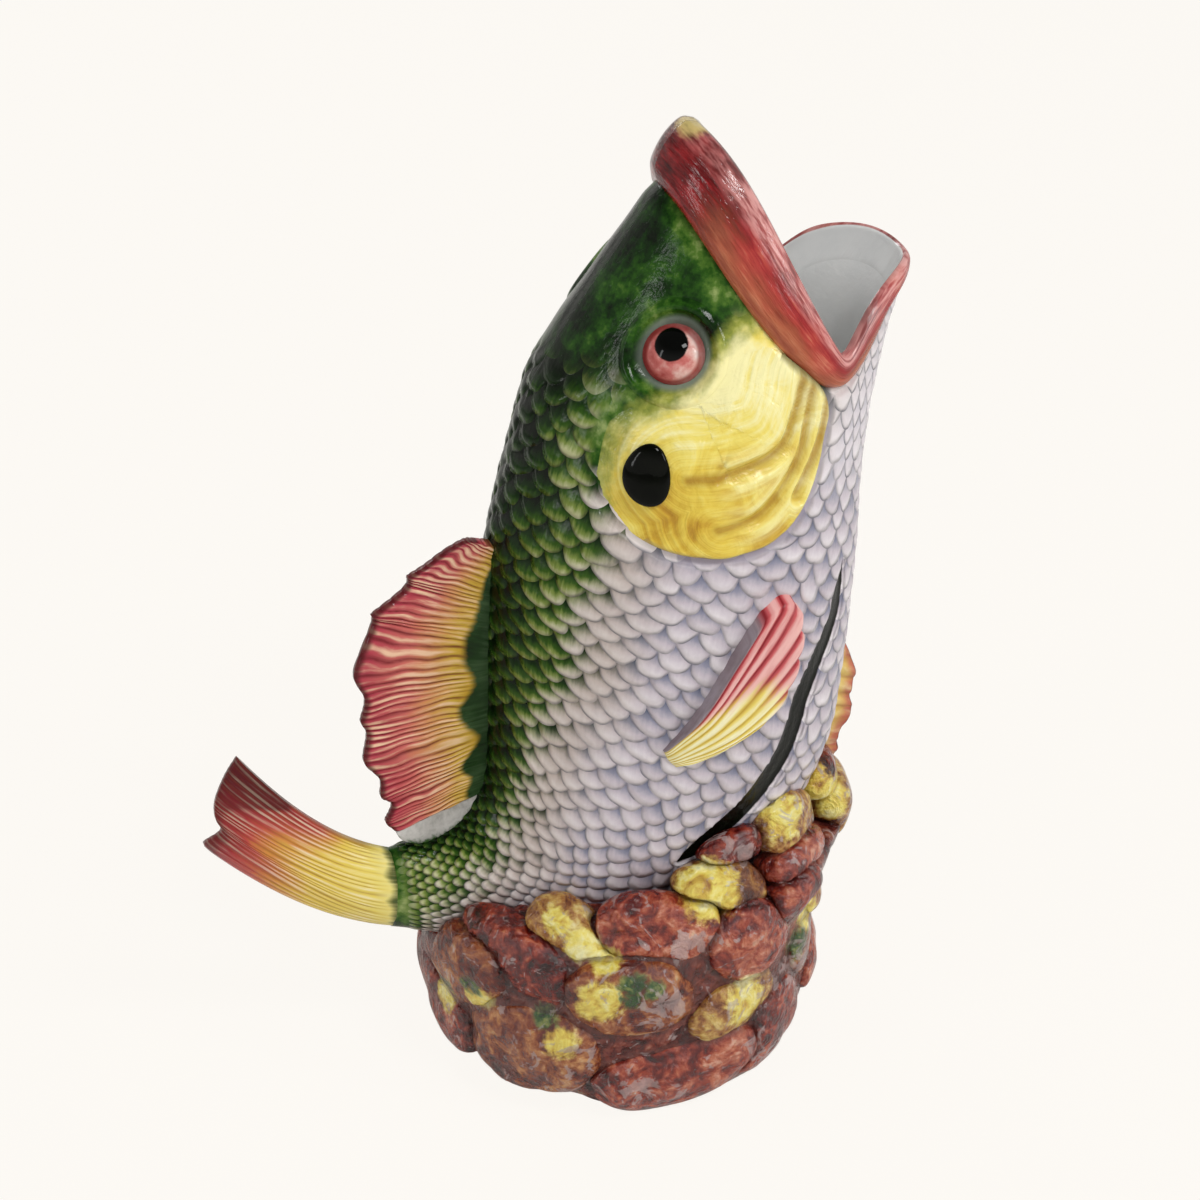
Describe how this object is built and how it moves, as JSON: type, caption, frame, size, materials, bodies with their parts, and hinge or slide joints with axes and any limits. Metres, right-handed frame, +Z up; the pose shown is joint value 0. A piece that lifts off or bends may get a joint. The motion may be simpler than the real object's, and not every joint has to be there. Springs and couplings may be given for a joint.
{
  "type": "fish pitcher",
  "caption": "Glazed earthenware pitcher shaped as a fish that rises from a heap of stones and pours from its open mouth.",
  "frame": {"origin": "centre of the flat foot, on the surface that the pitcher stands on", "axes": "+Z up; +X towards the mouth and belly; -X towards the tail; -Y is the fish's right flank"},
  "size_m": [0.2145, 0.127, 0.3026],
  "materials": {
    "scale_glaze": "gloss glaze, dark green on the back fading to grey lilac on the belly",
    "lip_glaze": "gloss glaze, brushed red",
    "cheek_glaze": "gloss glaze, yellow",
    "spot_glaze": "gloss glaze, black",
    "socket_glaze": "gloss glaze, dark green",
    "eye_glaze": "gloss glaze, pink iris round a black pupil",
    "fin_glaze": "gloss glaze, yellow root and red edge",
    "tail_glaze": "gloss glaze, yellow root and red edge",
    "web_glaze": "gloss glaze, pale grey",
    "crevice_glaze": "gloss glaze, dark brown pooled between the stones",
    "stone_brown": "gloss glaze, mottled red brown",
    "stone_yellow": "gloss glaze, yellow with brown edges",
    "stone_moss": "gloss glaze, brown and ochre with green patches"
  },
  "bodies": {
    "root": {"body_shell": "scale_glaze", "mouth_lip": "lip_glaze", "fin_web": "web_glaze", "rock_base": "crevice_glaze", "dorsal_fin": "fin_glaze", "tail_fin": "tail_glaze", "ventral_fin": "fin_glaze", "gill_cover_right": "cheek_glaze", "gill_spot_right": "spot_glaze", "eye_socket_right": "socket_glaze", "eyeball_right": "eye_glaze", "pectoral_fin_right": "fin_glaze", "gill_cover_left": "cheek_glaze", "gill_spot_left": "spot_glaze", "eye_socket_left": "socket_glaze", "eyeball_left": "eye_glaze", "pectoral_fin_left": "fin_glaze", "stone_01": "stone_brown", "stone_02": "stone_moss", "stone_03": "stone_brown", "stone_04": "stone_brown", "stone_05": "stone_brown", "stone_06": "stone_brown", "stone_07": "stone_moss", "stone_08": "stone_brown", "stone_09": "stone_moss", "stone_10": "stone_yellow", "stone_11": "stone_moss", "stone_12": "stone_brown", "stone_13": "stone_moss", "stone_14": "stone_brown", "stone_15": "stone_yellow", "stone_16": "stone_moss", "stone_17": "stone_yellow", "stone_18": "stone_brown", "stone_19": "stone_brown", "stone_20": "stone_brown", "stone_21": "stone_brown", "stone_22": "stone_yellow", "stone_23": "stone_yellow", "stone_24": "stone_brown", "stone_25": "stone_brown", "stone_26": "stone_yellow", "stone_27": "stone_brown", "stone_28": "stone_yellow", "stone_29": "stone_brown", "stone_30": "stone_yellow", "stone_31": "stone_brown", "stone_32": "stone_brown", "stone_33": "stone_yellow", "stone_34": "stone_brown", "stone_35": "stone_brown"}
  },
  "joints": []
}
